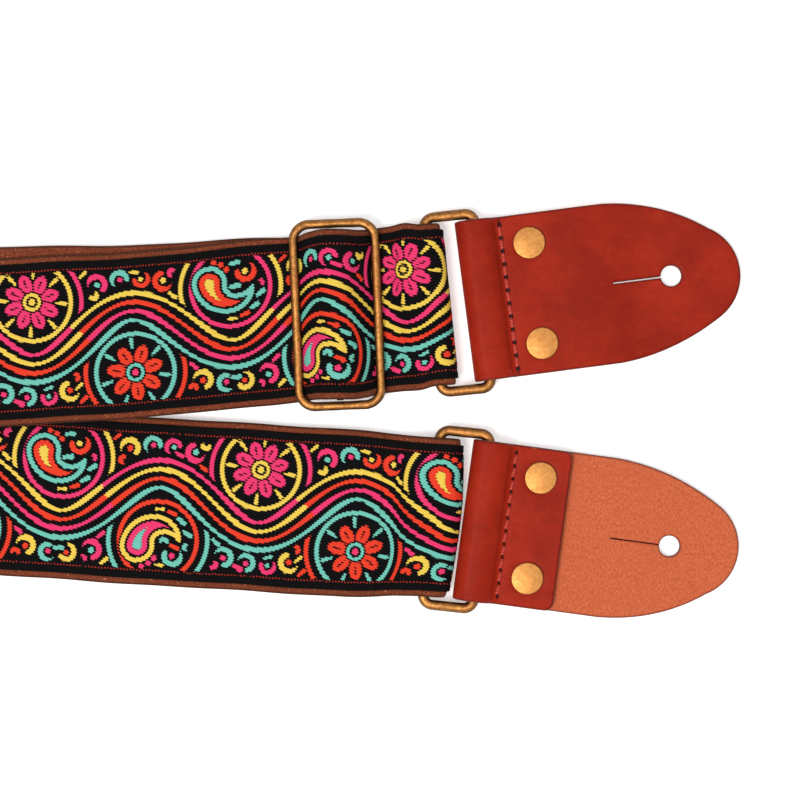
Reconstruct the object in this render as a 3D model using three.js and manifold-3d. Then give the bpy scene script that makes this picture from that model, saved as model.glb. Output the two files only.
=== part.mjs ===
// Two-ended guitar strap, folded in half and laid flat. Millimetres, +Z up, long way along X.
import * as THREE from "three";
import Module from "manifold-3d";
import { mergeVertices } from "three/addons/utils/BufferGeometryUtils.js";

// ---- Driving sizes ----
const WEB_T = 1.5; // backing webbing
const RIBBON_T = 0.7; // woven ribbon sewn on its outer face
const SEAM = 0.2; // gap between the two
const STRIP_T = WEB_T + SEAM + RIBBON_T;
const LAYER_GAP = 0.3; // between two strips that lie on each other
const RIBBON_INSET = 2; // backing left showing on each side of the ribbon
const BREAK = 0.15; // half of the cut between two lengths of one strip
const PIECE = 14; // longest straight step along the strip

const WIRE_Z = 4.4;
const RING = { long: 56.5, wide: 18.6, corner: 4.6, r: 1.6 };
const SLIDER = { long: 58.1, wide: 27.6, corner: 6.4, r: 1.4, tilt: 2.4, x: -19.1, z: 6.8 };
const LOOP_R = 2; // inner radius of a strip round a wire
const STACK = 2 * STRIP_T + LAYER_GAP;

const TAIL_END = -190;
const FOLDBACK_END = -150;
const FOLD_X = -705; // where the far fold starts
const FOLD_R = 4.6;

const LEATHER = { t: 2.4, half: 24.5, length: 85, flap: 30.7, stitch: 13.4 };
const HUMP = { inner: 2.2, foot: 4.5, crown: 6 };
const RIVET = { x: 21.8, y: 15.4, cap: 4.9, high: 1.3, post: 1.5 };
const BUTTON = { x: 63.7, r: 3.15, slit: 15, slitWide: 0.5 };
const STITCH = { pitch: 4, count: 11, wide: 0.9, high: 0.55, hole: 1.4, deep: 1.3 };

const rad = THREE.MathUtils.degToRad;
const wasm = await Module();
wasm.setup();

const group = new THREE.Group();
group.name = "guitar_strap";

// ---- Materials ----
const paint = (color, roughness, metalness = 0) =>
  new THREE.MeshStandardMaterial({ color, roughness, metalness });
const look = {
  webbing: paint(0x7a3f20, 0.95),
  ribbon: paint(0x131315, 0.85),
  leather: paint(0x9e2a1c, 0.5),
  brass: paint(0xb98a4a, 0.38, 1),
  thread: paint(0xe0503f, 0.8),
};

function add(name, geometry, material) {
  const mesh = new THREE.Mesh(geometry, material);
  mesh.name = name;
  group.add(mesh);
}

// ---- Where the strips lie: each table is x and value, with an optional slope ----
function along(table, x) {
  const last = table.length - 1;
  if (x >= table[0][0]) return table[0][1] + (table[0][2] ?? 0) * (x - table[0][0]);
  if (x <= table[last][0]) return table[last][1];
  const i = table.findIndex((row) => x > row[0]);
  const [x1, y1, m1 = 0] = table[i - 1];
  const [x0, y0, m0 = 0] = table[i];
  const h = x1 - x0;
  const t = (x - x0) / h;
  const s = 1 - t;
  return (
    y0 * (1 + 2 * t) * s * s +
    y1 * t * t * (3 - 2 * t) +
    h * (m0 * t * s * s - m1 * t * t * s)
  );
}

const UPPER = {
  centre: [[30, 30.6, 0.09], [-40, 23.75, 0.105], [-80, 19.9, 0.074], [-130, 16.8, 0.07], [FOLD_X, -7]],
  cross: [[6, 5.9], [-8, SLIDER.tilt], [-31.4, SLIDER.tilt], [-60, 4.2], [-130, 4.1, 0.006], [FOLD_X, 0]],
  width: [
    [8.5, 49.3], [3.5, 51], [-2, 50.2], [-8, 50.2], [-19, 51],
    [-30, 50.4], [-42, 51], [-66, 50.4], [-115, 51.1],
  ],
  lift: [[-36, 0], [-74, 5.6], [TAIL_END, 5.6], [TAIL_END - 80, 0]],
};
const LOWER = {
  centre: [[30, -36.5, -0.035], [-36.5, -33.25, -0.058], [-121.6, -27.9, -0.064], [FOLD_X, -7]],
  cross: [[5, -4.5], [-20, -3.2], [-121.6, -3.6, -0.006], [FOLD_X, 0]],
  width: [[7.5, 48.1], [2.5, 51.1]],
  lift: [[0, 0]],
};
const STRAY = [[-31.4, 0, -0.03], [-60.8, 1.5, -0.04], [TAIL_END, 6.2, -0.034]];

const FULL = along(LOWER.width, -100); // the strap's full width
const OUTERMOST = 0.5 + STRAY[2][1] / FULL; // where the tail's far edge rests on the table
function place(lane, x, v, z) {
  const angle = rad(along(lane.cross, x));
  const across = v * (along(lane.width, x) / FULL);
  const stray = lane.stray ? along(lane.stray, x) : 0;
  const share = (across + stray) / FULL;
  return [
    x - across * Math.sin(angle),
    along(lane.centre, x) + stray + across * Math.cos(angle),
    z + along(lane.lift, x) * (OUTERMOST - share),
  ];
}
const TAIL = { ...UPPER, stray: STRAY };

// ---- A strip seen from its side: a walk along its inner face, its outside on the right ----
function walk(start, steps) {
  let [x, z, heading] = start;
  const parts = [];
  // A line's third value is its longest step, an arc's is its radius.
  for (const [kind, amount, radius] of steps) {
    if (kind === "line") {
      const count = Math.max(1, Math.ceil(amount / (radius ?? PIECE)));
      parts.push({ x, z, heading, line: amount, count });
      x += amount * Math.cos(heading);
      z += amount * Math.sin(heading);
    } else {
      const turn = kind === "left" ? amount : -amount;
      const side = Math.sign(turn);
      const cx = x - side * radius * Math.sin(heading);
      const cz = z + side * radius * Math.cos(heading);
      const count = Math.max(3, Math.ceil(amount / rad(15)));
      parts.push({ cx, cz, radius, side, heading, turn, count });
      heading += turn;
      x = cx + side * radius * Math.sin(heading);
      z = cz - side * radius * Math.cos(heading);
    }
  }
  return parts;
}

function offsetLine(parts, out) {
  const points = [];
  parts.forEach((part, index) => {
    for (let k = index ? 1 : 0; k <= part.count; k++) {
      const t = k / part.count;
      if (part.line) {
        points.push([
          part.x + part.line * t * Math.cos(part.heading) + out * Math.sin(part.heading),
          part.z + part.line * t * Math.sin(part.heading) - out * Math.cos(part.heading),
        ]);
      } else {
        const h = part.heading + part.turn * t;
        const r = part.side * part.radius + out;
        points.push([part.cx + r * Math.sin(h), part.cz - r * Math.cos(h)]);
      }
    }
  });
  return points;
}

// The strip from inner offset a to outer offset b, across its width: four corners at each step.
function stripSolid(parts, a, b, width) {
  const inner = offsetLine(parts, a);
  const outer = offsetLine(parts, b);
  const half = width / 2;
  const points = inner.flatMap(([x, z], i) => [
    [x, -half, z],
    [x, half, z],
    [outer[i][0], half, outer[i][1]],
    [outer[i][0], -half, outer[i][1]],
  ]);
  const faces = [0, 1, 2, 0, 2, 3];
  for (let i = 0; i + 1 < inner.length; i++)
    for (let k = 0; k < 4; k++) {
      const [p, q] = [4 * i + k, 4 * i + ((k + 1) % 4)];
      faces.push(p, p + 4, q, q, p + 4, q + 4);
    }
  const end = 4 * (inner.length - 1);
  faces.push(end, end + 2, end + 1, end, end + 3, end + 2);
  const solid = new THREE.BufferGeometry();
  solid.setAttribute("position", new THREE.Float32BufferAttribute(points.flat(), 3));
  solid.setIndex(faces);
  return solid;
}

function layOnLane(geometry, lane) {
  const p = geometry.attributes.position;
  for (let i = 0; i < p.count; i++) p.setXYZ(i, ...place(lane, p.getX(i), p.getY(i), p.getZ(i)));
  geometry.computeVertexNormals();
  return geometry;
}

function addStrip(section, lane, start, steps) {
  const parts = walk(start, steps);
  const webbing = stripSolid(parts, 0, WEB_T, FULL);
  const ribbon = stripSolid(parts, WEB_T + SEAM, STRIP_T, FULL - 2 * RIBBON_INSET);
  add("webbing_" + section, layOnLane(webbing, lane), look.webbing);
  add("ribbon_" + section, layOnLane(ribbon, lane), look.ribbon);
}

// A drop or rise made of two equal arcs.
const swing = (rise, radius) => Math.acos(1 - rise / (2 * radius));
const reach = (rise, radius) => 2 * radius * Math.sin(swing(rise, radius));

// Round a wire at the right: along the bottom, round the end, down to the layer below.
function wireLoop(from, end) {
  const centre = end - LOOP_R - STRIP_T;
  const drop = 2 * LOOP_R - LAYER_GAP;
  const dropFrom = 6.8;
  return [
    ["line", centre - from],
    ["left", Math.PI, LOOP_R],
    ["line", centre - dropFrom],
    ["left", swing(drop, 8), 8],
    ["right", swing(drop, 8), 8],
    ["line", dropFrom - reach(drop, 8) - from],
  ];
}

const BAR = SLIDER.wide / 2 - SLIDER.r; // side bar from the middle bar
const sliderRight = SLIDER.x + BAR + 0.2;
const sliderLeft = SLIDER.x - BAR - 0.2;
const LOW = STRIP_T;
const HIGH = STRIP_T + LAYER_GAP;

const TWIST_FROM = -36; // the upper strips roll up between here and TWIST_TO
const TWIST_TO = -74;
addStrip("tail", TAIL, [TAIL_END, LOW, 0], [
  ["line", TWIST_TO - TAIL_END, 11],
  ["line", TWIST_FROM - TWIST_TO, 2],
  ["line", sliderLeft - BREAK - TWIST_FROM],
]);
addStrip("loop_a", UPPER, [sliderRight + BREAK, LOW, 0], wireLoop(sliderRight + BREAK, 15.5));
addStrip("run_a", UPPER, [sliderLeft - BREAK, HIGH, Math.PI], [
  ["line", sliderLeft - BREAK - TWIST_FROM],
  ["line", TWIST_FROM - TWIST_TO, 2],
  ["line", TWIST_TO - TAIL_END, 11],
  ["line", 80, 4],
  ["line", TAIL_END - 80 - FOLD_X - BREAK],
]);

// Through the slider both layers go under a side bar, over the middle bar and under the other.
function overBar(base) {
  const clear = SLIDER.r + LAYER_GAP;
  const climb = Math.asin((2 * clear + STACK) / BAR);
  const straight = Math.sqrt(BAR * BAR - (2 * clear + STACK) ** 2);
  const foot = clear + STACK - base;
  const crown = clear + base;
  return [
    ["line", 0.2 - BREAK],
    ["left", climb, foot],
    ["line", straight],
    ["right", 2 * climb, crown],
    ["line", straight],
    ["left", climb, foot],
    ["line", 0.2 - BREAK],
  ];
}
addStrip("slider_tail", UPPER, [sliderLeft + BREAK, LOW, 0], overBar(LOW));
// Walked towards the left, the upper layer turns the other way round at each bar.
const mirrored = overBar(HIGH).map(([kind, ...rest]) => [
  kind === "line" ? kind : kind === "left" ? "right" : "left",
  ...rest,
]);
addStrip("slider_main", UPPER, [sliderRight - BREAK, HIGH, Math.PI], mirrored);

// The far fold, the lower run and its loop with the sewn-back end.
const foldDrop = 2 * FOLD_R - LAYER_GAP;
const foldCentre = 12;
addStrip("fold", UPPER, [FOLD_X - BREAK, HIGH, Math.PI], [
  ["right", swing(foldDrop, 14), 14],
  ["left", swing(foldDrop, 14), 14],
  ["left", Math.PI, FOLD_R],
  ["line", reach(foldDrop, 14)],
]);
const loopBFrom = -6;
addStrip("run_b", LOWER, [FOLD_X + BREAK, LOW, 0], [["line", loopBFrom - BREAK - FOLD_X - BREAK]]);
addStrip("loop_b", LOWER, [loopBFrom + BREAK, LOW, 0], wireLoop(loopBFrom + BREAK, 17));
const backLong = loopBFrom - BREAK - FOLDBACK_END;
addStrip("foldback", LOWER, [loopBFrom - BREAK, HIGH, Math.PI], [["line", backLong]]);

// ---- Manifold helpers ----
function toSolid(geometry) {
  const bare = geometry.clone();
  bare.deleteAttribute("normal");
  bare.deleteAttribute("uv");
  const merged = mergeVertices(bare, 1e-4);
  const mesh = new wasm.Mesh({
    numProp: 3,
    vertProperties: merged.attributes.position.array,
    triVerts: new Uint32Array(merged.index.array),
  });
  return new wasm.Manifold(mesh);
}

function toGeometry(solid) {
  const mesh = solid.getMesh();
  const count = mesh.numVert;
  const flat = new Float32Array(count * 3);
  for (let i = 0; i < count; i++)
    for (let k = 0; k < 3; k++) flat[3 * i + k] = mesh.vertProperties[mesh.numProp * i + k];
  const geometry = new THREE.BufferGeometry();
  geometry.setAttribute("position", new THREE.BufferAttribute(flat, 3));
  geometry.setIndex(new THREE.BufferAttribute(mesh.triVerts, 1));
  geometry.computeVertexNormals();
  return geometry;
}

function moveTo(geometry, x, y, degrees) {
  geometry.rotateZ(rad(degrees));
  geometry.translate(x, y, 0);
  return geometry;
}

// ---- Sewn box with a cross, on the end of the sewn-back layer ----
const bar = (x0, y0, x1, y1) => {
  const long = Math.hypot(x1 - x0, y1 - y0);
  const box = new THREE.BoxGeometry(long + 0.7, 0.7, 0.4);
  box.rotateZ(Math.atan2(y1 - y0, x1 - x0));
  box.translate((x0 + x1) / 2, (y0 + y1) / 2, STACK + 0.3);
  return toSolid(box);
};
const [bx0, bx1, by0, by1] = [FOLDBACK_END + 4, FOLDBACK_END + 34, -18, 12];
const boxSeam = wasm.Manifold.union([
  bar(bx0, by0, bx1, by0),
  bar(bx1, by0, bx1, by1),
  bar(bx1, by1, bx0, by1),
  bar(bx0, by1, bx0, by0),
  bar(bx0, by0, bx1, by1),
  bar(bx0, by1, bx1, by0),
]);
add("box_seam", layOnLane(toGeometry(boxSeam), LOWER), look.thread);

// ---- Wire frames ----
function wireFrame({ long, wide, corner, r: wire }) {
  const r = corner - wire;
  const hx = wide / 2 - corner;
  const hy = long / 2 - corner;
  const path = [];
  [[1, 1], [-1, 1], [-1, -1], [1, -1]].forEach(([sx, sy], quarter) => {
    for (let k = 0; k <= 6; k++) {
      const angle = (quarter + k / 6) * (Math.PI / 2);
      const out = [Math.cos(angle), Math.sin(angle)];
      path.push({ x: sx * hx + r * out[0], y: sy * hy + r * out[1], out });
    }
  });
  const sides = 12;
  const points = [];
  const faces = [];
  path.forEach((at, i) => {
    const next = (i + 1) % path.length;
    for (let k = 0; k < sides; k++) {
      const turn = (k / sides) * 2 * Math.PI;
      const side = wire * Math.cos(turn);
      points.push(at.x + side * at.out[0], at.y + side * at.out[1], wire * Math.sin(turn));
      const other = (k + 1) % sides;
      const [a, b, c, d] = [i * sides + k, next * sides + k, next * sides + other, i * sides + other];
      faces.push(a, b, c, a, c, d);
    }
  });
  const geometry = new THREE.BufferGeometry();
  geometry.setAttribute("position", new THREE.Float32BufferAttribute(points, 3));
  geometry.setIndex(faces);
  geometry.computeVertexNormals();
  return geometry;
}

// A ring's near long side lies across the middle of the webbing that loops round it.
function ringOn(lane, x, tilt, lift) {
  const half = RING.wide / 2 - RING.r;
  const y = along(lane.centre, x - half * Math.cos(rad(tilt))) + half * Math.sin(rad(tilt));
  return { x, y: y + lift, tilt };
}
const RING_AT = { a: ringOn(UPPER, 17.5, 5.9, 0), b: ringOn(LOWER, 17.2, -6.0, 0.15) };
for (const [end, at] of Object.entries(RING_AT)) {
  const ring = wireFrame(RING);
  ring.translate(0, 0, WIRE_Z);
  add("ring_" + end, moveTo(ring, at.x, at.y, at.tilt), look.brass);
}
const sliderY = along(UPPER.centre, SLIDER.x);
const frame = wireFrame(SLIDER);
frame.translate(0, 0, SLIDER.z);
add("slider_frame", moveTo(frame, SLIDER.x, sliderY, SLIDER.tilt), look.brass);
const barLong = SLIDER.long - 4 * SLIDER.r - 0.4;
const middle = new THREE.CylinderGeometry(SLIDER.r, SLIDER.r, barLong, 16);
middle.translate(0, 0, SLIDER.z);
add("slider_middle_bar", moveTo(middle, SLIDER.x, sliderY, SLIDER.tilt), look.brass);

// ---- Leather ends ----
function leafOutline(flip) {
  const s = flip ? -1 : 1;
  const shape = new THREE.Shape();
  shape.moveTo(-2, -LEATHER.half * s);
  shape.lineTo(44.7, -LEATHER.half * s);
  shape.quadraticCurveTo(62, -23.6 * s, 77.5, -14.1 * s);
  const from = Math.atan2(-13.2 * s, 8.3);
  const to = Math.atan2(13.7 * s, 7.8);
  shape.absarc(69.1, -0.7 * s, 15.8, from, to, flip);
  shape.quadraticCurveTo(63, 23.6 * s, 44.7, LEATHER.half * s);
  shape.lineTo(-2, LEATHER.half * s);
  shape.closePath();
  return shape;
}

function prism(shape, z0, z1, curveSegments = 10) {
  const depth = z1 - z0;
  const solid = new THREE.ExtrudeGeometry(shape, { depth, bevelEnabled: false, curveSegments });
  solid.translate(0, 0, z0);
  return toSolid(solid);
}

function disc(r, z0, z1, x, y, sides = 32) {
  const solid = new THREE.CylinderGeometry(r, r, z1 - z0, sides);
  solid.rotateX(Math.PI / 2);
  solid.translate(x, y, (z0 + z1) / 2);
  return toSolid(solid);
}

function block(x0, x1, y0, y1, z0, z1) {
  const solid = new THREE.BoxGeometry(x1 - x0, y1 - y0, z1 - z0);
  solid.translate((x0 + x1) / 2, (y0 + y1) / 2, (z0 + z1) / 2);
  return toSolid(solid);
}

const humpRise = 2 * HUMP.inner - LAYER_GAP;
const humpFoot = HUMP.crown + reach(humpRise, HUMP.foot);
const roundBar = [
  ["right", swing(humpRise, HUMP.foot), HUMP.foot],
  ["left", swing(humpRise, HUMP.foot), HUMP.foot],
  ["line", HUMP.crown - HUMP.inner - LEATHER.t],
  ["left", Math.PI, HUMP.inner],
];
const leafDrop = reach(HIGH, 60);
const foldAt = HUMP.inner + LEATHER.t;
const leafUp = walk([LEATHER.length + 2, 0, Math.PI], [
  ["line", LEATHER.length + 2 - 60.3],
  ["right", swing(HIGH, 60), 60],
  ["left", swing(HIGH, 60), 60],
  ["line", 60.3 - leafDrop - humpFoot],
  ...roundBar,
  ["line", LEATHER.flap - foldAt],
]);
const flapUp = walk([LEATHER.flap, HIGH, Math.PI], [
  ["line", LEATHER.flap - humpFoot],
  ...roundBar,
  ["line", LEATHER.length + 2 - foldAt],
]);

// One corner of the short flap, to round it off.
function flapCorner(side, z0, z1) {
  const r = 2.5;
  const shape = new THREE.Shape();
  const x = LEATHER.flap - r;
  const y = side * (LEATHER.half - r);
  shape.moveTo(x, y + side * r);
  shape.absarc(x, y, r, (side * Math.PI) / 2, 0, side > 0);
  shape.lineTo(x + r + 1, y);
  shape.lineTo(x + r + 1, y + side * (r + 1));
  shape.lineTo(x, y + side * (r + 1));
  shape.closePath();
  return prism(shape, z0, z1, 4);
}

const stitchAt = (i) => (i - STITCH.count / 2) * STITCH.pitch;
function leather(parts, flip) {
  const strip = stripSolid(parts, 0, LEATHER.t, 2 * LEATHER.half + 2);
  let solid = toSolid(strip).intersect(prism(leafOutline(flip), -1, 12));
  const cuts = [
    disc(BUTTON.r, -1, 8, BUTTON.x, 0, 40),
    block(BUTTON.x - BUTTON.r - BUTTON.slit, BUTTON.x, -BUTTON.slitWide / 2, BUTTON.slitWide / 2, -1, 8),
  ];
  const [flapLow, flapHigh] = flip ? [HIGH - 0.1, STACK + 1] : [-1, LOW + 0.1];
  for (const side of [-1, 1]) {
    cuts.push(disc(RIVET.post + 0.2, -1, 8, RIVET.x, side * RIVET.y, 20));
    cuts.push(disc(RIVET.cap + 0.25, -1, 1.3, RIVET.x, side * RIVET.y));
    cuts.push(flapCorner(side, flapLow, flapHigh));
  }
  const [x, w] = [LEATHER.stitch, STITCH.wide / 2 + 0.2];
  for (let i = 0; i <= STITCH.count; i++) {
    const y = stitchAt(i);
    cuts.push(block(x - w, x + w, y - STITCH.hole / 2, y + STITCH.hole / 2, STACK - STITCH.deep, 8));
  }
  for (const cut of cuts) solid = solid.subtract(cut);
  return toGeometry(solid);
}

// The seam's upper thread: a run of raised stitches that dips into each hole.
function seamThread() {
  const top = STACK + 0.3;
  const dip = STACK - STITCH.deep + 0.2;
  const near = STITCH.hole / 2;
  const upper = [];
  const lower = [];
  for (let i = 0; i <= STITCH.count; i++) {
    const y = stitchAt(i);
    if (i) {
      upper.push([y - near - 0.1, top + STITCH.high]);
      lower.push([y - near + 0.15, top]);
    }
    upper.push([y, dip + STITCH.high]);
    lower.push([y - 0.15, dip], [y + 0.15, dip]);
    if (i < STITCH.count) {
      upper.push([y + near + 0.1, top + STITCH.high]);
      lower.push([y + near - 0.15, top]);
    }
  }
  const outline = [...lower, ...upper.reverse()].map(([y, z]) => new THREE.Vector2(y, z));
  const solid = new THREE.ExtrudeGeometry(new THREE.Shape(outline), {
    depth: STITCH.wide,
    bevelEnabled: false,
  });
  solid.translate(0, 0, -STITCH.wide / 2);
  solid.rotateX(Math.PI / 2);
  solid.rotateZ(Math.PI / 2);
  solid.translate(LEATHER.stitch, 0, 0);
  return solid;
}

// Rivet: a domed cap with its post, and a low cap let into the leather below.
function rivetCap() {
  const z0 = STACK + 0.1;
  const { cap, high, post } = RIVET;
  const points = [[0, 1.6], [post, 1.6], [post, z0], [cap - 0.3, z0], [cap, z0 + 0.3]];
  for (let k = 0; k <= 4; k++) {
    const angle = rad(20 + 17.5 * k);
    points.push([cap * Math.cos(angle), z0 + 0.25 + (high - 0.25) * Math.sin(angle)]);
  }
  points[points.length - 1][0] = 0;
  return new THREE.LatheGeometry(points.map(([r, z]) => new THREE.Vector2(r, z)), 28);
}
function rivetBase() {
  const r = RIVET.cap;
  const points = [[0, 0], [r - 0.9, 0], [r - 0.2, 0.25], [r, 0.7], [r - 0.2, 1.1], [0, 1.1]];
  return new THREE.LatheGeometry(points.map(([x, z]) => new THREE.Vector2(x, z)), 28);
}
const upright = (geometry) => geometry.rotateX(Math.PI / 2);

const ENDS = {
  a: { parts: leafUp, flip: false, turn: 7.4, bar: 5.6, shift: 0.1 },
  b: { parts: flapUp, flip: true, turn: -7.7, bar: 5.8, shift: 0.3 },
};
for (const [end, { parts, flip, turn, bar: barAt, shift }] of Object.entries(ENDS)) {
  const ring = RING_AT[end];
  const half = RING.wide / 2 - RING.r;
  const x = ring.x + half * Math.cos(rad(ring.tilt)) - barAt * Math.cos(rad(turn));
  const y = ring.y + half * Math.sin(rad(ring.tilt)) - barAt * Math.sin(rad(turn)) + shift;
  add("leather_" + end, moveTo(leather(parts, flip), x, y, turn), look.leather);
  add("leather_thread_" + end, moveTo(seamThread(), x, y, turn), look.thread);
  for (const [tag, side] of [["upper", 1], ["lower", -1]]) {
    for (const [kind, make] of [["cap", rivetCap], ["base", rivetBase]]) {
      const rivet = upright(make());
      rivet.translate(RIVET.x, side * RIVET.y, 0);
      add(`rivet_${kind}_${end}_${tag}`, moveTo(rivet, x, y, turn), look.brass);
    }
  }
}

// ---- Origin under the middle of the whole ----
const box = new THREE.Box3().setFromObject(group);
const centre = box.getCenter(new THREE.Vector3());
for (const mesh of group.children) mesh.geometry.translate(-centre.x, -centre.y, -box.min.z);

export default group;
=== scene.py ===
"""A woven guitar strap, folded in half and laid flat: its looks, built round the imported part.
Lengths are in millimetres until metres() turns them."""

from math import acos, asin, atan, atan2, ceil, cos, degrees, pi, radians, sin, sqrt

import bpy
import numpy as np
from mathutils.geometry import delaunay_2d_cdt
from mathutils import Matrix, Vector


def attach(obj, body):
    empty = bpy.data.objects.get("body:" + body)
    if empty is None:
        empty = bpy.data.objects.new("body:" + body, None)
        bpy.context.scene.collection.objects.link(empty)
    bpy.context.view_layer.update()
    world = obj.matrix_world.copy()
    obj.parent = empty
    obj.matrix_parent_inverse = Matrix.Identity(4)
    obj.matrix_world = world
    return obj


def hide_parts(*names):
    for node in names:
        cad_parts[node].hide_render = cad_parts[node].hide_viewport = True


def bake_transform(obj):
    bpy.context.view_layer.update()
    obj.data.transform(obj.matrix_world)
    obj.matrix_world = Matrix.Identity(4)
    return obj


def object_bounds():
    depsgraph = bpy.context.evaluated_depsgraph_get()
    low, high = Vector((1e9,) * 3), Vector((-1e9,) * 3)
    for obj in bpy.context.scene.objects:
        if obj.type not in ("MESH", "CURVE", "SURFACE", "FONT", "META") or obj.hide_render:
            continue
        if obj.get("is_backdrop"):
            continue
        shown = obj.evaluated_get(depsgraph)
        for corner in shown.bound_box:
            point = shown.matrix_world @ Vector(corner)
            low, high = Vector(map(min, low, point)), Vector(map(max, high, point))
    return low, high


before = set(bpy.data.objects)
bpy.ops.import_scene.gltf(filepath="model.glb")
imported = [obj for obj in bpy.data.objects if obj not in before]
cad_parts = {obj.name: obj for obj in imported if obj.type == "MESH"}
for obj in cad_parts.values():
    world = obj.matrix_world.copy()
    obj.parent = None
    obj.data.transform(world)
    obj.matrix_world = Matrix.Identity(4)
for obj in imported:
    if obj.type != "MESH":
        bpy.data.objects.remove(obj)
CAD_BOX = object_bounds()
RNG = np.random.default_rng(7)
MM = 0.001
TAU = 2 * pi
MIDDLE = np.array([-314.31089, -3.30041, 0.0])


def metres(points):
    return (np.asarray(points, float).reshape(-1, 3) - MIDDLE) * MM


def spun(lx, ly, tilt, x=0.0, y=0.0):
    """Local points turned by tilt degrees about their origin, which is then put at (x, y)."""
    c, s = cos(radians(tilt)), sin(radians(tilt))
    return x + lx * c - ly * s, y + lx * s + ly * c


def around(n):
    """The angles of n points once round a circle."""
    return np.arange(n) * TAU / n


def unit(vectors):
    return vectors / np.linalg.norm(vectors, axis=1)[:, None]


def link(obj):
    bpy.context.scene.collection.objects.link(obj)
    return obj


def assign(piece, body, slot, *nodes):
    """Gives a piece its body and hides the part's nodes it takes the place of. slot is not used."""
    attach(piece, body)
    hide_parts(*nodes)


# ---- the layout, as in the part
WEB_T, RIBBON_T, SEAM = 1.5, 0.7, 0.2
STRIP_T = WEB_T + SEAM + RIBBON_T
GAP = 0.3
STACK = 2 * STRIP_T + GAP
LOW, HIGH = STRIP_T, STRIP_T + GAP
FULL, INSET = 51.1, 2.0
WIRE_Z, LOOP_R = 4.4, 2.0
TAIL_END, FOLDBACK_END, FOLD_X, FOLD_R = -190.0, -150.0, -705.0, 4.6
SLIDER_X, SLIDER_Z, SLIDER_TILT, SLIDER_R, BAR = -19.1, 6.8, 2.4, 1.4, 12.4
NEAR_END = -200.0  # the upper run's near length ends here


def along(table, x):
    """A smooth curve through rows of (x, value, slope), x falling. It stays level past the last row
    and goes on straight before the first."""
    rows = np.array([(r[0], r[1], r[2] if len(r) > 2 else 0.0) for r in table][::-1])
    x = np.asarray(x, float)
    i = np.clip(np.searchsorted(rows[:, 0], x) - 1, 0, len(rows) - 2)
    (x0, y0, m0), (x1, y1, m1) = rows[i].T, rows[i + 1].T
    x0, y0, m0, x1, y1, m1 = (a.T for a in (x0, y0, m0, x1, y1, m1))
    h = x1 - x0
    t = np.clip((x - x0) / h, 0, 1)
    s = 1 - t
    value = y0 * (1 + 2 * t) * s * s + y1 * t * t * (3 - 2 * t) + h * (m0 * t * s * s - m1 * t * t * s)
    return value + np.where(x > rows[-1, 0], rows[-1, 2] * (x - rows[-1, 0]), 0)


UPPER = {
    "centre": [(30, 30.6, 0.09), (-40, 23.75, 0.105), (-80, 19.9, 0.074), (-130, 16.8, 0.07), (FOLD_X, -7)],
    "cross": [(6, 5.9), (-8, SLIDER_TILT), (-31.4, SLIDER_TILT), (-60, 4.2), (-130, 4.1, 0.006), (FOLD_X, 0)],
    "width": [
        (8.5, 49.3), (3.5, 51), (-2, 50.4), (-8, 50.4), (-11.2, 50.9), (-15, 51.5),
        (-23.2, 51.5), (-27, 50.9), (-30.2, 50.4), (-42, 51), (-66, 50.4), (-115, 51.1),
    ],
    "lift": [(-36, 0), (-74, 5.6), (TAIL_END, 5.6), (TAIL_END - 80, 0)],
    "stray": [(-5, 0), (-11, -0.45, 0.057), (-27, 0.45, 0.057), (-31.4, 0, -0.03)],
}
LOWER = {
    "centre": [(30, -36.5, -0.035), (-36.5, -33.25, -0.058), (-121.6, -27.9, -0.064), (FOLD_X, -7)],
    "cross": [(5, -4.5), (-20, -3.2), (-121.6, -3.6, -0.006), (FOLD_X, 0)],
    "width": [(8, 48.3), (-16, 51.1)],
    "lift": [(1, 0), (0, 0)],
    "stray": [(1, 0), (0, 0)],
    "bow": [(-25.5, -0.3), (-15, 0.6), (-5, 1.4), (5, 1.7), (15, 1.3), (25.5, 0.5)],
}
TAIL = {**UPPER, "stray": [(-31.4, 0, -0.03), (-60.8, 1.5, -0.04), (TAIL_END, 6.2, -0.034)]}
OUTERMOST = 0.5 + 6.2 / FULL


def place(lane, x, v, z):
    """A point of a flat strip, x along, v across and z up, where the strip lies on the table."""
    angle = np.radians(along(lane["cross"], x))
    across = v * along(lane["width"], x) / FULL
    stray = along(lane["stray"], x)
    edge = 0.14 * np.sin(x / 9.1 + 1) + 0.1 * np.sin(x / 4.3)
    across = across + edge * np.abs(v) / (FULL / 2) * 0.8
    share = (across + stray) / FULL
    ripple = 0.10 * (1 + np.sin(x / 13.0 + v / 21.0)) * np.clip(np.abs(v) / 25, 0, 1)
    lift = along(lane["lift"], x) * (OUTERMOST - share)
    bow = np.interp(v, *np.transpose(lane.get("bow", [(0, 0), (1, 0)]))) * np.clip(x / 9, 0, 1) ** 2
    y = along(lane["centre"], x) + stray + across * np.cos(angle)
    return np.stack([x - across * np.sin(angle) + bow, y, z + lift + ripple * 0.5], -1)


def walk(start, steps, pace):
    """Stations of a strip seen from its side: x, z and heading of its inner face. Its outside is
    on the right."""
    x, z, h = start
    out = [(x, z, h)]
    for kind, amount, *rest in steps:
        if kind == "line":
            n = max(1, ceil(amount / pace))
            for k in range(1, n + 1):
                out.append((x + amount * k / n * cos(h), z + amount * k / n * sin(h), h))
        else:
            r = rest[0]
            side = 1 if kind == "left" else -1
            cx, cz = x - side * r * sin(h), z + side * r * cos(h)
            n = max(8, ceil(amount * (r + STRIP_T) / pace))
            for k in range(1, n + 1):
                g = h + side * amount * k / n
                out.append((cx + side * r * sin(g), cz - side * r * cos(g), g))
        x, z, h = out[-1]
    return np.array(out)


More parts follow.
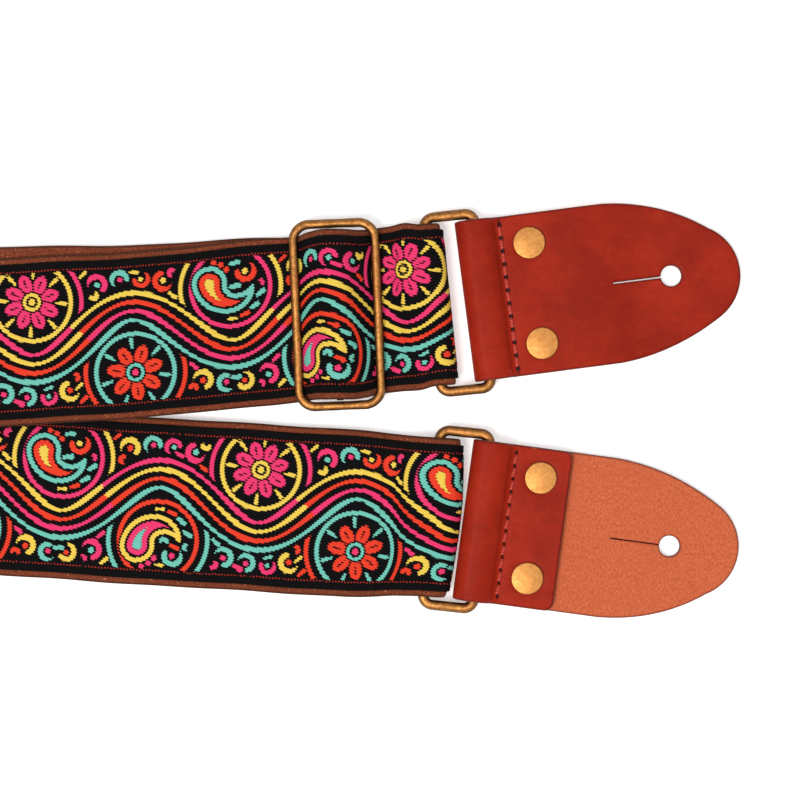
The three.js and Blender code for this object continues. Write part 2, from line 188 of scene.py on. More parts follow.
def run_along(stations, thickness):
    """The length so far at each station, along the middle of the thickness."""
    x, z, h = stations.T
    middle = np.stack([x + thickness / 2 * np.sin(h), z - thickness / 2 * np.cos(h)], 1)
    return np.r_[0, np.cumsum(np.hypot(*np.diff(middle, axis=0).T))]


def swing(rise, radius):
    return acos(1 - rise / (2 * radius))


def reach(rise, radius):
    return 2 * radius * sin(swing(rise, radius))


def s_bend(first, rise, radius):
    """Two equal turns, one each way, that shift a strip by rise."""
    second = "right" if first == "left" else "left"
    return [(first, swing(rise, radius), radius), (second, swing(rise, radius), radius)]


def wire_loop(start, end):
    centre, drop, top = end - LOOP_R - STRIP_T, 2 * LOOP_R - GAP, 6.8
    return [
        ("line", centre - start),
        ("left", pi, LOOP_R),
        ("line", centre - top),
        *s_bend("left", drop, 8),
        ("line", top - reach(drop, 8) - start),
    ]


def over_bar(base, mirror):
    clear = SLIDER_R + GAP
    climb = asin((2 * clear + STACK) / BAR)
    straight = sqrt(BAR**2 - (2 * clear + STACK) ** 2)
    foot, crown = clear + STACK - base, clear + base
    up, down = ("right", "left") if mirror else ("left", "right")
    ends, middle = [(up, climb, foot), ("line", straight)], [(down, 2 * climb, crown)]
    return ends + middle + ends[::-1]


RIGHT, LEFT = SLIDER_X + BAR, SLIDER_X - BAR
FOLD_DROP = 2 * FOLD_R - GAP
FOLD_STEPS = [
    ("line", NEAR_END - FOLD_X),
    *s_bend("right", FOLD_DROP, 14),
    ("left", pi, FOLD_R),
    ("line", reach(FOLD_DROP, 14)),
]
# name: lane, start (x, z, heading), steps, and the paces of ribbon and webbing. In the order of
# the one long strip.
LENGTHS = {
    "tail": (TAIL, (TAIL_END, LOW, 0), [("line", LEFT - TAIL_END)], (0.7, 2.0)),
    "slider_tail": (UPPER, (LEFT, LOW, 0), over_bar(LOW, False), (0.7, 1.2)),
    "loop_a": (UPPER, (RIGHT, LOW, 0), wire_loop(RIGHT, 15.5), (0.45, 1.0)),
    "slider_main": (UPPER, (RIGHT, HIGH, pi), over_bar(HIGH, True), (0.42, 1.0)),
    "run_near": (UPPER, (LEFT, HIGH, pi), [("line", LEFT - NEAR_END)], (0.42, 1.6)),
    "run_far": (UPPER, (NEAR_END, HIGH, pi), FOLD_STEPS, (0.62, 3.0)),
    "run_b": (LOWER, (FOLD_X, LOW, 0), [("line", -6 - FOLD_X)], (0.75, 3.0)),
    "loop_b": (LOWER, (-6, LOW, 0), wire_loop(-6, 17), (0.45, 1.0)),
    "foldback": (LOWER, (-6, HIGH, pi), [("line", -6 - FOLDBACK_END)], (0.42, 1.6)),
}

# ---- the woven figures, drawn as distances
# A made-up design: a band of waves with a drop or a flower in each of its hollows, and small filler
# in what is left.
REPEAT = 120.0
FIELD_HALF = 20.4
WAVE, SWELL = 60.0, 8.6
COLOURS = PINK, CORAL, MINT, YELLOW = range(4)
RIBBON_HALF = 23.6
GRID_X = np.linspace(0, REPEAT, 480, endpoint=False)
GX, GY = np.meshgrid(GRID_X, np.linspace(-RIBBON_HALF, RIBBON_HALF, 190), indexing="ij")
figure = np.full((4,) + GX.shape, -9.0)


def near_x(x0):
    """How far each point is from x0, going round the repeat the short way."""
    return (GX - x0 + REPEAT / 2) % REPEAT - REPEAT / 2


def paint(colour, depth):
    figure[colour] = np.maximum(figure[colour], depth)


def lay(colour, depth, gap=0.5):
    """Adds a shape, given as depth inside it, with a thin black line between it and what lay below."""
    carve(depth + gap)
    paint(colour, depth)


def carve(depth):
    for k in COLOURS:
        figure[k] = np.minimum(figure[k], -depth)


def stroke_depth(points, widths):
    p = np.asarray(points, float)
    w = np.asarray(widths, float) / 2
    middle = (p.max(0) + p.min(0)) / 2
    half = np.ptp(p, axis=0) / 2 + w.max() + 4.6
    dx = near_x(middle[0])
    close = (np.abs(dx) < half[0]) & (np.abs(GY - middle[1]) < half[1])
    qx, qy = dx[close] + middle[0], GY[close]
    best = np.full(qx.shape, -9.0)
    for a, b, wa, wb in zip(p[:-1], p[1:], w[:-1], w[1:]):
        d = b - a
        t = np.clip(((qx - a[0]) * d[0] + (qy - a[1]) * d[1]) / max(d @ d, 1e-9), 0, 1)
        best = np.maximum(best, wa + (wb - wa) * t - np.hypot(qx - a[0] - t * d[0], qy - a[1] - t * d[1]))
    depth = np.full(GX.shape, -9.0)
    depth[close] = best
    return depth


def stroke(points, width, colour, start=0.35, end=0.35):
    """A brush line that swells in its middle."""
    t = np.linspace(0, 1, len(points))
    widths = width * np.minimum(1, np.minimum(start + 3.2 * t, end + 3.2 * (1 - t)))
    lay(colour, stroke_depth(points, widths))


def arc(cx, cy, r0, r1, a0, a1, n=20):
    a = np.radians(np.linspace(a0, a1, n))
    r = np.linspace(r0, r1, n)
    return np.stack([cx + r * np.cos(a), cy + r * np.sin(a)], 1)


def disc_depth(cx, cy, r):
    return r - np.hypot(near_x(cx), GY - cy)


def ring_depth(cx, cy, r, width):
    return width / 2 - np.abs(np.hypot(near_x(cx), GY - cy) - r)


def oval_depth(cx, cy, a, b, turn):
    x, y = near_x(cx), GY - cy
    c, s = cos(turn), sin(turn)
    return (1 - np.hypot((x * c + y * s) / a, (y * c - x * s) / b)) * min(a, b)


def ripples(cx, cy, radii, colours):
    """Rings round a hollow's middle, over what lies there."""
    carve(disc_depth(cx, cy, radii[-1] + 1.5))
    for r, colour in zip(radii, colours):
        paint(colour, ring_depth(cx, cy, r, 1.3))


def waves():
    """Four lines side by side that run the whole repeat. The middle ones change colour halfway."""
    u = np.linspace(0, REPEAT, 361)
    phase = TAU * u / WAVE
    slope = SWELL * TAU / WAVE * np.cos(phase)
    lean = 1 / np.hypot(1, slope)
    middle = np.stack([u, SWELL * np.sin(phase)], 1)
    for piece in np.array_split(np.arange(361), 12):
        span = middle[max(piece[0] - 1, 0) : piece[-1] + 2]
        carve(stroke_depth(span, np.full(len(span), 12.6)))
    orders = ((MINT, CORAL, YELLOW, PINK), (MINT, PINK, CORAL, YELLOW))
    for half, colours in enumerate(orders):
        own = (u >= half * WAVE) & (u <= (half + 1) * WAVE)
        for k, colour in enumerate(colours):
            off = 2.95 * (k - 1.5) * (1 + 0.06 * np.cos(2 * phase))
            line = np.stack([u - off * slope * lean, SWELL * np.sin(phase) + off * lean], 1)[own]
            paint(colour, stroke_depth(line, 1.3 + 0.3 * np.sin(3 * phase[own] + k)))


def drop(cx, cy, size, up, outer, body, core):
    """A teardrop whose tip curls over, drawn as nested outlines, with beads along its back."""
    t = np.linspace(0, 1, 40)
    turn = np.radians(180 - 165 * t)
    curl = 1.3 * size
    spine = np.stack([cx + curl * (1 + np.cos(turn)), cy + up * curl * np.sin(turn)], 1)
    depth = stroke_depth(spine, 2 * size * (1 - t) ** 0.8 + 0.5)
    carve(depth + 0.5)
    for level, width, colour in ((0.7, 1.4, outer), (3.0, 1.7, body), (size, 2.4, core)):
        paint(colour, width / 2 - np.abs(depth - level))
    for angle in np.radians(np.arange(-165, 75, 20)):
        bead = disc_depth(cx + curl * sin(angle), cy - up * curl * cos(angle), 0.85)
        if np.max(figure.max(0)[bead > 0], initial=-9.0) < 0:
            lay(body, bead, 0.3)


def spoke(cx, cy, angle, *radii):
    """Points that lie one behind the other from a middle."""
    return [(cx + r * cos(angle), cy + r * sin(angle)) for r in radii]


def flower(cx, cy, size, petals, leaf, ring, heart):
    """Petals round a ringed heart, each with a dark vein, and a short bar between each two."""
    for k in range(petals):
        a = TAU * k / petals + 0.3
        lay(leaf, oval_depth(*spoke(cx, cy, a, 0.66 * size)[0], 0.36 * size, 0.23 * size, a))
        carve(stroke_depth(spoke(cx, cy, a, 0.5 * size, 0.8 * size), [0.3, 0.7]))
    for k in range(petals):
        a = TAU * (k + 0.5) / petals + 0.3
        lay(ring, stroke_depth(spoke(cx, cy, a, 0.88 * size, 1.2 * size), [0.7, 1.3]))
    carve(disc_depth(cx, cy, 0.36 * size))
    lay(ring, ring_depth(cx, cy, 0.27 * size, 0.95))
    lay(heart, disc_depth(cx, cy, 0.12 * size))


def fill(count):
    """Small hooks, crescents and dashes, each where there is most black left."""
    for _ in range(count):
        room = np.minimum(-figure.max(0), FIELD_HALF + 0.4 - np.abs(GY))
        i, j = np.unravel_index(np.argmax(room), room.shape)
        size = min(room[i, j] - 0.95, 3.0)
        if size < 0.62:
            return
        cx, cy = GX[i, j], GY[i, j]
        colour = COLOURS[int(RNG.integers(4))]
        turn = float(RNG.uniform(0, 360))
        if size > 2.0:
            stroke(arc(cx, cy, 0.75 * size, 0.95 * size, turn, turn + 235), 0.55 * size, colour, 0.9, 0.15)
            lay(COLOURS[(colour + 2) % 4], disc_depth(cx, cy, 0.3 * size), 0.35)
        elif size > 1.15:
            stroke(arc(cx, cy, 0.45 * size, 0.8 * size, turn, turn + 190), 0.85 * size, colour, 0.9, 0.2)
        else:
            lean = atan(SWELL * TAU / WAVE * cos(TAU * cx / WAVE))
            lay(colour, stroke_depth(spoke(cx, cy, lean, -1.1, 1.1), [1.1 * size, 1.5 * size]), 0.4)


RING_ORDERS = ((CORAL, MINT), (YELLOW, PINK), (MINT, CORAL), (PINK, YELLOW))
HOLLOWS = [(WAVE / 2 * (k + 0.5), 1 if k % 2 else -1) for k in range(4)]
for k in (0, 2, 1, 3):
    hollow, side = HOLLOWS[k]
    ripples(hollow, side * 11.6, (11.8, 15.0), RING_ORDERS[k])
waves()
drop(HOLLOWS[0][0] - 6.2, -13.4, 5.0, 1, YELLOW, PINK, MINT)
flower(HOLLOWS[1][0], 11.6, 8.4, 8, PINK, YELLOW, YELLOW)
flower(HOLLOWS[2][0], -11.6, 8.4, 7, CORAL, MINT, PINK)
drop(HOLLOWS[3][0] - 6.2, 13.4, 5.0, -1, MINT, CORAL, YELLOW)
fill(400)
figure = np.minimum(figure, FIELD_HALF - np.abs(GY))


def figure_at(u, v):
    """The four distances at points of the ribbon, the pattern repeating along u."""
    a = (u % REPEAT) / REPEAT * GX.shape[0]
    b = np.clip((v + RIBBON_HALF) / (2 * RIBBON_HALF) * (GX.shape[1] - 1), 0, GX.shape[1] - 1.001)
    i, j = np.floor(a).astype(int) % GX.shape[0], np.floor(b).astype(int)
    fa, fb = a - np.floor(a), b - j
    i1 = (i + 1) % GX.shape[0]
    return (
        figure[:, i, j] * (1 - fa) * (1 - fb)
        + figure[:, i1, j] * fa * (1 - fb)
        + figure[:, i, j + 1] * (1 - fa) * fb
        + figure[:, i1, j + 1] * fa * fb
    )


# ---- materials
class Shade:
    """A node material. Each call adds one node and gives back its output."""

    def __init__(self, name):
        self.material = bpy.data.materials.new(name)
        self.material.use_nodes = True
        self.tree = self.material.node_tree
        self.bsdf = self.tree.nodes["Principled BSDF"]

    def node(self, kind, inputs=(), output=0, **settings):
        made = self.tree.nodes.new("ShaderNode" + kind)
        for key, value in settings.items():
            setattr(made, key, value)
        for key, value in dict(inputs).items():
            self.join(value, made.inputs[key])
        return made.outputs[output]

    def join(self, value, socket):
        if isinstance(value, bpy.types.NodeSocket):
            self.tree.links.new(value, socket)
        else:
            socket.default_value = value

    def math(self, operation, a, b=0.0, c=0.0):
        return self.node("Math", {0: a, 1: b, 2: c}, operation=operation)

    def add(self, a, b):
        return self.math("ADD", a, b)

    def times(self, a, b, plus=None):
        return self.math("MULTIPLY", a, b) if plus is None else self.math("MULTIPLY_ADD", a, b, plus)

    def sine(self, a):
        return self.math("SINE", a)

    def step(self, value, low, high, to_low=0.0, to_high=1.0):
        """A smooth step of value from low to high."""
        inputs = {0: value, 1: low, 2: high, 3: to_low, 4: to_high}
        return self.node("MapRange", inputs, interpolation_type="SMOOTHSTEP")

    def mix(self, share, a, b):
        return self.node("Mix", {0: share, 6: a, 7: b}, output=2, data_type="RGBA")

    def attribute(self, name, output="Fac"):
        return self.node("Attribute", output=output, attribute_name=name)

    def cloth(self):
        """The Cloth map and its two directions, along and across, in tenths of a metre."""
        uv = self.node("UVMap", uv_map="Cloth")
        return uv, *self.node("SeparateXYZ", {0: uv}).node.outputs[:2]

    def place(self, scale=(1, 1, 1)):
        """The resting place of a point on its own mesh, in millimetres times scale."""
        at = self.node("TexCoord", output="Object")
        return self.node("Mapping", {0: at, 3: [1000 * k for k in scale]})

    def noise(self, at, scale, detail=2.0, roughness=0.5):
        return self.node("TexNoise", {"Vector": at, "Scale": scale, "Detail": detail, "Roughness": roughness})

    def bump(self, height, distance, strength=1.0):
        """Height is a share of distance, in millimetres."""
        return self.node("Bump", {"Strength": strength, "Distance": distance * MM, "Height": height})

    def finish(self, **inputs):
        for key, value in inputs.items():
            self.join(value, self.bsdf.inputs[key.replace("_", " ")])
        return self.material


def srgb(r, g, b):
    """Linear colour of an everyday 0 to 255 one."""
    return [((c / 255 + 0.055) / 1.055) ** 2.4 if c > 10 else c / 255 / 12.92 for c in (r, g, b)] + [1.0]


def ribbon_material():
    """Black jacquard with satin figures in four colours, and a red edge stitch."""
    m = Shade("ribbon_weave")
    uv, u, v = m.cloth()
    u, v = m.times(u, 100.0), m.times(v, 100.0)
    across = m.math("ABSOLUTE", v)
    teeth = m.math("PINGPONG", m.times(u, 0.35, v), 0.45)
    jitter = m.noise(uv, 260.0, 1.0)
    ragged = m.times(teeth, 0.15, m.times(jitter, 0.03, -0.048))
    figures = m.attribute("figure", "Color").node
    channels = m.node("SeparateColor", {0: figures.outputs["Color"]}).node
    grain = m.noise(m.node("Mapping", {0: uv, 3: (60, 500, 1)}), 5.0, 2.0)
    threads = m.sine(m.times(v, TAU / 0.42))
    floats = m.sine(m.times(u, TAU / 0.75, m.times(v, 4.3)))
    ground = m.mix(m.step(m.times(threads, floats), 0.2, 1.0), srgb(7, 6, 8), srgb(19, 17, 20))
    hatch = m.sine(m.times(u, TAU / 0.85, m.times(v, TAU / 0.95)))
    colour = ground
    covered = 0.0
    tints = (srgb(252, 66, 124), srgb(250, 70, 44), srgb(126, 212, 194), srgb(252, 222, 96))
    shades = (srgb(205, 36, 88), srgb(200, 44, 26), srgb(82, 164, 150), srgb(214, 168, 52))
    sources = [channels.outputs[k] for k in range(3)] + [figures.outputs["Alpha"]]
    for source, tint, shade in zip(sources, tints, shades):
        inside = m.step(m.add(source, ragged), 0.493, 0.507)
        lit = m.times(hatch, 0.2, m.times(grain, 0.9, 0.1))
        colour = m.mix(inside, colour, m.mix(m.step(lit, 0.12, 0.85), shade, tint))
        covered = m.math("MAXIMUM", covered, inside)
    wander = m.times(m.noise(m.node("Mapping", {0: uv, 3: (60, 4, 1)}), 3.0), 0.9, -0.45)
    seam = m.math("ABSOLUTE", m.math("SUBTRACT", m.add(across, wander), 20.95))
    dash = m.math("PINGPONG", u, 0.48)
    missing = m.step(m.noise(m.node("Mapping", {0: uv, 3: (130, 6, 1)}), 1.0), 0.36, 0.44)
    dots = m.times(m.times(m.step(seam, 0.27, 0.13), m.step(dash, 0.18, 0.3)), missing)
    colour = m.mix(dots, colour, srgb(172, 46, 32))
    covered = m.math("MAXIMUM", covered, dots)
    weave = m.times(threads, 0.22, m.times(floats, m.times(covered, -0.12, 0.16)))
    height = m.add(m.times(covered, 0.55), m.add(weave, m.times(grain, 0.2)))
    rough = m.times(covered, -0.2, 0.86)
    relief = m.bump(height, 0.16, 0.8)
    return m.finish(Base_Color=colour, Roughness=rough, Normal=relief, Specular_IOR_Level=0.12)


def webbing_material():
    """Velvety brown backing: short pile over a close cross weave."""
    m = Shade("webbing_velvet")
    at = m.place()
    pile = m.noise(at, 2.6, 3.0, 0.7)
    specks = m.noise(at, 1.1, 2.0, 0.6)
    broad = m.noise(at, 0.06, 2.0)
    colour = m.mix(m.step(pile, 0.34, 0.68), srgb(86, 36, 19), srgb(160, 80, 50))
    colour = m.mix(m.step(specks, 0.6, 0.75), colour, srgb(186, 108, 78))
    colour = m.mix(m.times(m.step(broad, 0.4, 0.65), 0.3), colour, srgb(104, 50, 30))
    _, u, v = m.cloth()
    across = m.math("ABSOLUTE", m.times(v, 100.0))
    # The side edges are coloured dark brown: painted shade where the webbing turns down into the shadow
    # between layers.
    edge = m.step(across, FULL / 2 - 0.95, FULL / 2 - 0.2, 0.0, 0.9)
    colour = m.mix(edge, colour, srgb(44, 18, 9))
    ribs = m.sine(m.times(u, 100 * TAU / 1.1))
    rows = m.sine(m.times(v, 100 * TAU / 0.9))
    height = m.times(m.times(ribs, rows), 0.25, m.add(pile, specks))
    sheen = {"Sheen_Weight": 0.3, "Sheen_Roughness": 0.5, "Sheen_Tint": srgb(220, 150, 115)}
    relief = m.bump(height, 0.3, 0.8)
    return m.finish(Base_Color=colour, Roughness=0.95, Specular_IOR_Level=0.2, Normal=relief, **sheen)


def grain_material():
    """The leather's dyed, polished side."""
    m = Shade("leather_grain")
    at = m.place()
    cloud = m.noise(at, 0.05, 4.0, 0.6)
    mottle = m.noise(at, 0.35, 4.0, 0.65)
    streak = m.noise(m.place((0.4, 1, 1)), 0.5, 3.0, 0.6)
    colour = m.mix(m.step(cloud, 0.3, 0.7), srgb(144, 32, 17), srgb(168, 42, 22))
    colour = m.mix(m.times(m.step(mottle, 0.45, 0.7), 0.3), colour, srgb(126, 30, 17))
    colour = m.mix(m.times(m.step(streak, 0.55, 0.75), 0.25), colour, srgb(180, 54, 32))
    rim = m.attribute("rim")
    colour = m.mix(m.step(rim, 0.45, 0.05, 0.0, 0.55), colour, srgb(84, 18, 13))
    scuffs = m.step(m.noise(at, 0.23, 1.0), 0.795, 0.81, 0.0, 0.4)
    colour = m.mix(scuffs, colour, srgb(214, 130, 100))
    cells = m.node("TexVoronoi", {"Vector": at, "Scale": 1.5}, feature="SMOOTH_F1")
    pores = m.step(m.noise(at, 1.9, 2.0), 0.62, 0.74)
    height = m.add(m.times(cells, 0.5), m.times(pores, -0.5, mottle))
    rough = m.times(mottle, 0.25, 0.32)
    relief = m.bump(height, 0.07, 0.5)
    return m.finish(Base_Color=colour, Roughness=rough, Normal=relief, Specular_IOR_Level=0.07)


def flesh_material():
    """The leather's undyed, napped side."""
    m = Shade("leather_flesh")
    at = m.place()
    fibre = m.noise(m.place((1.5, 0.8, 1)), 1.3, 4.0, 0.75)
    tuft = m.noise(at, 0.42, 4.0, 0.7)
    broad = m.noise(at, 0.035, 3.0, 0.6)
    colour = m.mix(m.step(fibre, 0.3, 0.7), srgb(182, 82, 47), srgb(222, 116, 76))
    colour = m.mix(m.times(m.step(tuft, 0.5, 0.72), 0.35), colour, srgb(168, 72, 44))
    colour = m.mix(m.times(m.step(broad, 0.42, 0.68), 0.4), colour, srgb(196, 92, 62))
    rim = m.attribute("rim")
    colour = m.mix(m.step(rim, 0.6, 0.05, 0.0, 0.5), colour, srgb(130, 52, 34))
    sheen = {"Sheen_Weight": 0.15, "Specular_IOR_Level": 0.2}
    relief = m.bump(m.add(fibre, m.times(tuft, 0.6)), 0.1, 0.6)
    return m.finish(Base_Color=colour, Roughness=0.93, Normal=relief, **sheen)


def cut_material():
    """The leather's cut edge: layered fibres, dyed dark."""
    m = Shade("leather_cut")
    layers = m.noise(m.place((0.3, 0.3, 2.5)), 1.6, 3.0, 0.7)
    colour = m.mix(m.step(layers, 0.35, 0.65), srgb(74, 18, 13), srgb(134, 44, 28))
    return m.finish(Base_Color=colour, Roughness=0.6, Normal=m.bump(layers, 0.15, 0.7))


def brass_material(name, bright, dull):
    """Antique brass with fine tumbling marks, dark where the wear value is low: patina in hollows, and
    painted shade on the sides of wires and rivet rims.
    """
    m = Shade(name)
    at = m.place()
    stain = m.noise(at, 0.9, 5.0, 0.75)
    pits = m.noise(at, 2.4, 3.0, 0.7)
    colour = m.mix(m.step(stain, 0.35, 0.72), bright, dull)
    # Low values darken the brass: patina, and painted shade on the sides of wires and rivet rims.
    worn_and_shaded = m.times(m.math("SUBTRACT", pits, 0.5), 0.35, m.attribute("wear_and_shade"))
    colour = m.mix(m.step(worn_and_shaded, 0.42, 0.92), srgb(62, 38, 20), colour)
    rough = m.times(stain, 0.2, 0.4)
    return m.finish(Base_Color=colour, Metallic=1.0, Roughness=rough, Normal=m.bump(pits, 0.05, 0.5))


def thread_material(name, light, dark):
    """Twisted thread: slanting plies along the stitch, from its Cloth map."""
    m = Shade(name)
    _, u, v = m.cloth()
    ply = m.sine(m.times(u, 100 * TAU / 0.7, m.times(v, 300.0)))
    fuzz = m.noise(m.place(), 3.0, 3.0, 0.7)
    colour = m.mix(m.step(m.add(ply, fuzz), -0.4, 1.2), dark, light)
    # Thread down in the stitch holes is coloured near-black: painted shade.
    colour = m.mix(m.attribute("in_hole_shade"), colour, srgb(48, 12, 9))
    return m.finish(Base_Color=colour, Roughness=0.75, Sheen_Weight=0.2, Normal=m.bump(ply, 0.12, 0.8))


RIBBON, WEBBING = ribbon_material(), webbing_material()
LEATHER_SIDES = [grain_material(), flesh_material(), cut_material()]
WIRE = brass_material("brass_wire", srgb(206, 143, 80), srgb(142, 92, 46))
CAP = brass_material("brass_cap", srgb(214, 150, 84), srgb(188, 128, 68))
CORAL_THREAD = thread_material("thread_coral", srgb(232, 74, 54), srgb(160, 38, 28))
BLACK_THREAD = thread_material("thread_black", srgb(38, 36, 40), srgb(14, 13, 16))

# ---- meshes
def volume(points, faces):
    """Six times the enclosed volume, to tell whether the faces point out."""
    total = 0.0
    for size in {len(face) for face in faces}:
        corners = points[np.array([face for face in faces if len(face) == size])]
        for k in range(1, size - 1):
            total += np.sum(corners[:, 0] * np.cross(corners[:, k], corners[:, k + 1]))
    return total


def quads(rows, ring, closed=False):
    """Faces between rows of ring points each, the last row joined to the first where closed."""
    i, k = np.meshgrid(np.arange(rows if closed else rows - 1), np.arange(ring), indexing="ij")
    here, ahead, beside = i * ring, (i + 1) % rows * ring, (k + 1) % ring
    return np.stack([here + k, here + beside, ahead + beside, ahead + k], -1).reshape(-1, 4).tolist()


def end_caps(rows, ring):
    return [list(range(ring - 1, -1, -1)), list(range((rows - 1) * ring, rows * ring))]


def make_mesh(name, points, faces, materials, uv=None, figures=None, values=None, sides=None):
    """points are millimetres of the layout. uv, figures and values are per point, sides is a
    material index per face."""
    points = metres(points)
    mesh = bpy.data.meshes.new(name)
    mesh.from_pydata(points.tolist(), [], faces)
    if volume(points, faces) < 0:
        mesh.flip_normals()
    mesh.polygons.foreach_set("use_smooth", np.ones(len(mesh.polygons), bool))
    if sides is not None:
        mesh.polygons.foreach_set("material_index", np.asarray(sides, np.int32))
    if uv is not None:
        layer = mesh.uv_layers.new(name="Cloth")
        index = np.empty(len(mesh.loops), np.int32)
        mesh.loops.foreach_get("vertex_index", index)
        layer.data.foreach_set("uv", (np.asarray(uv)[index] / 100).astype(np.float32).ravel())
    if figures is not None:
        attribute = mesh.attributes.new("figure", "FLOAT_COLOR", "POINT")
        attribute.data.foreach_set("color", figures.astype(np.float32).ravel())
    for key, value in (values or {}).items():
        attribute = mesh.attributes.new(key, "FLOAT", "POINT")
        attribute.data.foreach_set("value", np.asarray(value, np.float32))
    for material in materials:
        mesh.materials.append(material)
    mesh.update()
    return link(bpy.data.objects.new(name, mesh))


def strip_mesh(name, lane, stations, section, low, high, material, u, patterned):
    """A closed strip. section goes once round the cross-section, as (v, share of the thickness) rows."""
    x, z, h = stations.T
    v, rise = np.array(section).T
    n, m = len(x), len(v)
    uu, vv = np.meshgrid(u, v, indexing="ij")
    height = low + (high - low) * np.broadcast_to(rise, (n, m))
    figures = None
    if patterned:
        depth = figure_at(uu, vv)
        upper = rise > 0.5
        raised = np.clip(depth.max(0) / 0.4, 0, 1)
        valley = np.exp(-(((np.abs(vv) - 20.95) / 0.6) ** 2))
        height = height + upper * (0.10 * raised - 0.16 * valley)
        figures = np.where(upper[None, None, :], np.clip(0.5 + depth / 6, 0, 1), 0.0)
        figures = np.moveaxis(figures, 0, -1).reshape(-1, 4)
    px = x[:, None] + height * np.sin(h)[:, None]
    pz = z[:, None] - height * np.cos(h)[:, None]
    points = place(lane, px, vv, pz).reshape(-1, 3)
    faces = quads(n, m) + end_caps(n, m)
    uv = np.stack([uu, vv], -1).reshape(-1, 2)
    return make_mesh(name, points, faces, [material], uv=uv, figures=figures)


def cross_section(half, corner, step, under_step):
    """Once round a flat strip with rounded edges: over the top from -half to half, and back below."""
    top = np.linspace(-half + corner, half - corner, max(3, round(2 * (half - corner) / step)))
    low = np.linspace(half - corner, -half + corner, max(3, round(2 * half / under_step)))
    edge = [(half - 0.3 * corner, 0.9), (half, 0.62), (half, 0.38), (half - 0.3 * corner, 0.1)]
    return [(v, 1.0) for v in top] + edge + [(v, 0.0) for v in low] + [(-v, s) for v, s in edge[::-1]]


STANDS_FOR = {"run_near": "run_a", "run_far": "fold"}
SLIDING = {"tail": (LEFT, -120.0), "loop_a": (RIGHT, 9.0), "run_near": (LEFT, -120.0)}


def row_point(x, y, z=0.0):
    return tuple(metres([(x, y, z)])[0])


def make_strips():
    u0 = 31.0
    for name, (lane, start, steps, (ribbon_pace, web_pace)) in LENGTHS.items():
        length = run_along(walk(start, steps, 0.5), STRIP_T)[-1]
        for cloth, pace in (("webbing", web_pace), ("ribbon", ribbon_pace)):
            patterned = cloth == "ribbon"
            stations = walk(start, steps, pace)
            low, high = (WEB_T + SEAM, STRIP_T) if patterned else (0.0, WEB_T)
            half, corner = (FULL / 2 - INSET, 0.3) if patterned else (FULL / 2, 1.0)
            section = cross_section(half, corner, pace, 2.5 if patterned else 1.6)
            run = run_along(stations, STRIP_T)
            u = u0 - run * length / run[-1]
            material = RIBBON if patterned else WEBBING
            piece_name = f"{cloth}_{name}_cloth"
            piece = strip_mesh(piece_name, lane, stations, section, low, high, material, u, patterned)
            if name in SLIDING:
                near, far = SLIDING[name]
                ends = [row_point(x, float(along(lane["centre"], x))) for x in (near, far)]
                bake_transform(piece)
            else:
                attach(piece, "slider" if name.startswith("slider") else "strap")
            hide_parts(f"{cloth}_{STANDS_FOR.get(name, name)}")
        u0 -= length


make_strips()

# ---- wire frames
def ring_frame(long, wide, corner, wire, x, y, z, tilt, name, body, node):
    """A bent wire frame, bright above and below, with its sides coloured dark as painted shade."""
    r = corner - wire
    hx, hy = wide / 2 - corner, long / 2 - corner
    path = []
    for quarter, (sx, sy) in enumerate(((1, 1), (-1, 1), (-1, -1), (1, -1))):
        for k in range(15):
            angle = (quarter + k / 14) * pi / 2
            path.append((sx * hx + r * cos(angle), sy * hy + r * sin(angle), angle))
    path.append(path[0])
    px, py, turn = np.array(path).T
    turn = np.unwrap(turn, period=TAU)
    steps = np.hypot(np.diff(px), np.diff(py))
    share = np.r_[0, np.cumsum(steps)]
    at = np.unique(np.r_[share, np.arange(0, share[-1], 1.2)])[:-1]
    px, py, turn = (np.interp(at, share, c) for c in (px, py, turn))
    n, sides = len(at), 24
    angles = around(sides)
    wobble = 0.03 * np.sin(at / 3.1) + 0.02 * np.sin(at / 1.27)
    radius = (wire - 0.02 + wobble)[:, None]
    out, up = radius * np.cos(angles), radius * np.sin(angles)
    lx = px[:, None] + out * np.cos(turn)[:, None]
    ly = py[:, None] + out * np.sin(turn)[:, None]
    points = np.stack([*spun(lx, ly, tilt, x, y), z + up], -1).reshape(-1, 3)
    faces = quads(n, sides, closed=True)
    # The wire's sides are darkened in colour: painted shade, brightest on top and underneath.
    wear_and_shade = np.broadcast_to(0.12 + 0.88 * np.abs(np.sin(angles)), (n, sides)).ravel()
    assign(make_mesh(name, points, faces, [WIRE], values={"wear_and_shade": wear_and_shade}), body, "brass", node)


RING = {"long": 56.5, "wide": 18.6, "corner": 4.6, "wire": 1.6}
SLIDER = {"long": 58.1, "wide": 27.7, "corner": 6.4, "wire": SLIDER_R}
HALF_RING = RING["wide"] / 2 - RING["wire"]
RINGS = {}
for end, (lane, x, tilt, lift) in {"a": (UPPER, 17.5, 5.9, 0.0), "b": (LOWER, 17.2, -6.0, 0.15)}.items():
    dx, dy = spun(HALF_RING, 0, tilt)
    y = float(along(lane["centre"], x - dx)) + dy + lift
    RINGS[end] = (x, y, tilt)
    node = f"ring_{end}"
    ring_frame(**RING, x=x, y=y, z=WIRE_Z, tilt=tilt, name=f"wire_ring_{end}", body=node, node=node)
SLIDER_Y = float(along(UPPER["centre"], SLIDER_X))
SLIDER_AT = {"x": SLIDER_X, "y": SLIDER_Y, "z": SLIDER_Z, "tilt": SLIDER_TILT}
ring_frame(**SLIDER, **SLIDER_AT, name="slider_wire", body="slider", node="slider_frame")


